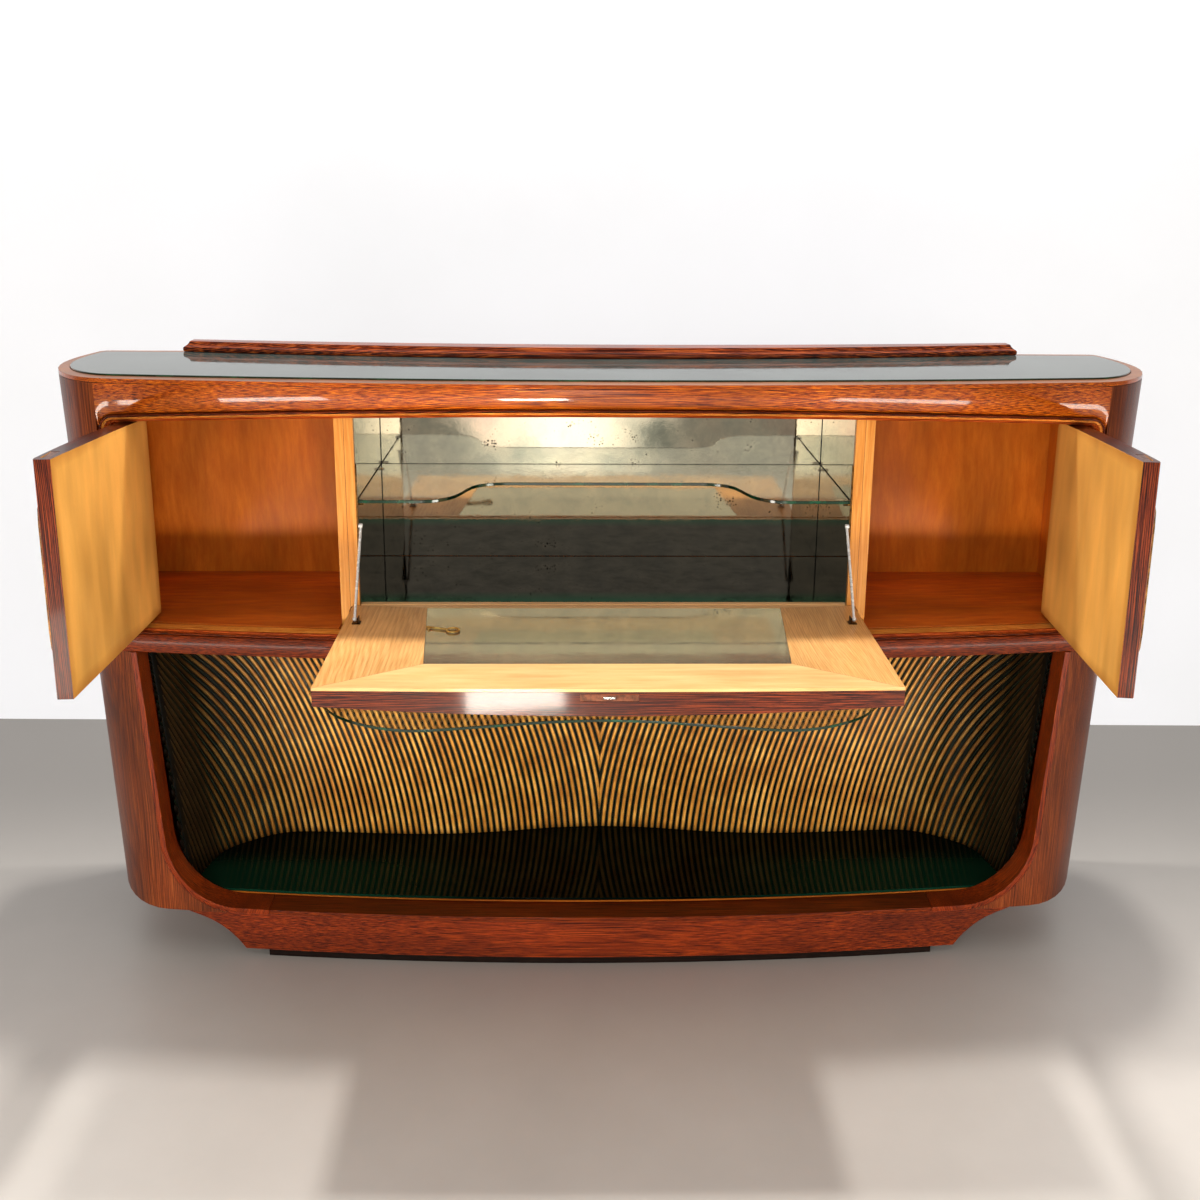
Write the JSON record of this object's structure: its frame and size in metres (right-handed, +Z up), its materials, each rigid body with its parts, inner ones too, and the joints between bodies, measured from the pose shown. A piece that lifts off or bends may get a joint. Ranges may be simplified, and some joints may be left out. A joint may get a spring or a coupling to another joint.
{
  "type": "bar cabinet",
  "caption": "Wide bar cabinet with bowed front, drop flap with mirror, side doors, mirrored niche with glass shelf and an open fluted niche below",
  "frame": {"origin": "on the floor, under the centre of the overall box with flap and doors open", "axes": "+X to the right seen from the front, +Y to the back, +Z up"},
  "size_m": [2.006, 0.7186, 1.144],
  "materials": {
    "rosewood": "french-polished rosewood, high gloss",
    "dark_rosewood": "dark rosewood edges and mouldings, polished",
    "mahogany": "red-brown veneered side shells, satin polish",
    "maple": "pale maple veneer, amber lacquer",
    "lining_wood": "orange-brown lining veneer, satin",
    "gilt_wood": "gilded fluted wood with dark grooves",
    "clear_glass": "clear plate glass with green polished edges",
    "dark_glass": "dark green back-painted glass",
    "grey_glass": "grey-green mirrored plate glass, polished edge",
    "mirror_glass": "aged silvered mirror glass",
    "brass": "worn polished brass",
    "chrome": "nickel-plated steel"
  },
  "bodies": {
    "case": {"apron": "rosewood", "back_panel": "lining_wood", "base_back": "mahogany", "case_bottom": "lining_wood", "crest_rail": "rosewood", "inner_back": "lining_wood", "left_base_block": "mahogany", "left_compartment_floor": "lining_wood", "left_compartment_lining": "lining_wood", "left_divider": "maple", "left_flap_hinge": "brass", "left_fluted_panel": "gilt_wood", "left_niche_liner": "rosewood", "left_niche_mirror": "mirror_glass", "left_side_shell": "mahogany", "lower_glass_shelf": "clear_glass", "mid_deck": "lining_wood", "mid_moulding": "dark_rosewood", "mid_rail": "rosewood", "niche_back_mirror": "mirror_glass", "niche_bottom_glass": "dark_glass", "niche_floor": "maple", "niche_floor_mirror": "mirror_glass", "niche_sill_rail": "rosewood", "opening_moulding": "dark_rosewood", "right_base_block": "mahogany", "right_compartment_floor": "lining_wood", "right_compartment_lining": "lining_wood", "right_divider": "maple", "right_flap_hinge": "brass", "right_fluted_panel": "gilt_wood", "right_niche_liner": "rosewood", "right_niche_mirror": "mirror_glass", "right_side_shell": "mahogany", "rim_back": "rosewood", "rim_front": "rosewood", "rim_left_corner": "rosewood", "rim_right_corner": "rosewood", "sub_plinth": "dark_rosewood", "top_board": "lining_wood", "top_glass": "grey_glass", "top_rail": "rosewood", "upper_glass_shelf": "clear_glass"},
    "left_door": {"left_door_board": "maple", "left_door_pull": "brass", "left_door_catch_plate": "chrome"},
    "right_door": {"right_door_board": "maple", "right_door_pull": "brass", "right_door_catch_plate": "chrome"},
    "flap": {"flap_board": "dark_rosewood", "flap_inner_panel": "maple", "flap_mirror": "mirror_glass", "lock_faceplate": "brass", "left_stay_bracket": "chrome", "right_stay_bracket": "chrome"},
    "lock_bolt_body": {"lock_bolt": "chrome"},
    "left_stay": {"left_stay_rod": "chrome"},
    "right_stay": {"right_stay_rod": "chrome"},
    "loose_key": {"key": "brass"}
  },
  "joints": [
    {"name": "left_door_hinge", "type": "hinge", "parent": "case", "child": "left_door", "pos_m": [-0.832, 0.04685, 0.86], "axis": [0, 0, 1], "range_deg": [-12, 86.2]},
    {"name": "right_door_hinge", "type": "hinge", "parent": "case", "child": "right_door", "pos_m": [0.832, 0.04685, 0.86], "axis": [0, 0, -1], "range_deg": [-16, 81.8]},
    {"name": "flap_hinge", "type": "hinge", "parent": "case", "child": "flap", "pos_m": [0, 0.01275, 0.689], "axis": [-1, 0, 0], "range_deg": [0, 90]},
    {"name": "lock_bolt_slide", "type": "slide", "parent": "flap", "child": "lock_bolt_body", "axis": [0, -1, 0], "range_m": [0, 0.01]},
    {"name": "left_stay_pivot", "type": "hinge", "parent": "flap", "child": "left_stay", "pos_m": [-0.4365, -0.06475, 0.7115], "axis": [-1, 0, 0], "range_deg": [-125.5, 0]},
    {"name": "right_stay_pivot", "type": "hinge", "parent": "flap", "child": "right_stay", "pos_m": [0.4365, -0.06475, 0.7115], "axis": [-1, 0, 0], "range_deg": [-125.5, 0]},
    {"name": "key_lift", "type": "slide", "parent": "flap", "child": "loose_key", "axis": [0, 0, 1], "range_m": [0, 0.05]}
  ],
  "couplings": [
    {"joint": "left_stay_pivot", "follows": "flap_hinge", "ratio": -1.3932},
    {"joint": "right_stay_pivot", "follows": "flap_hinge", "ratio": -1.3932}
  ]
}
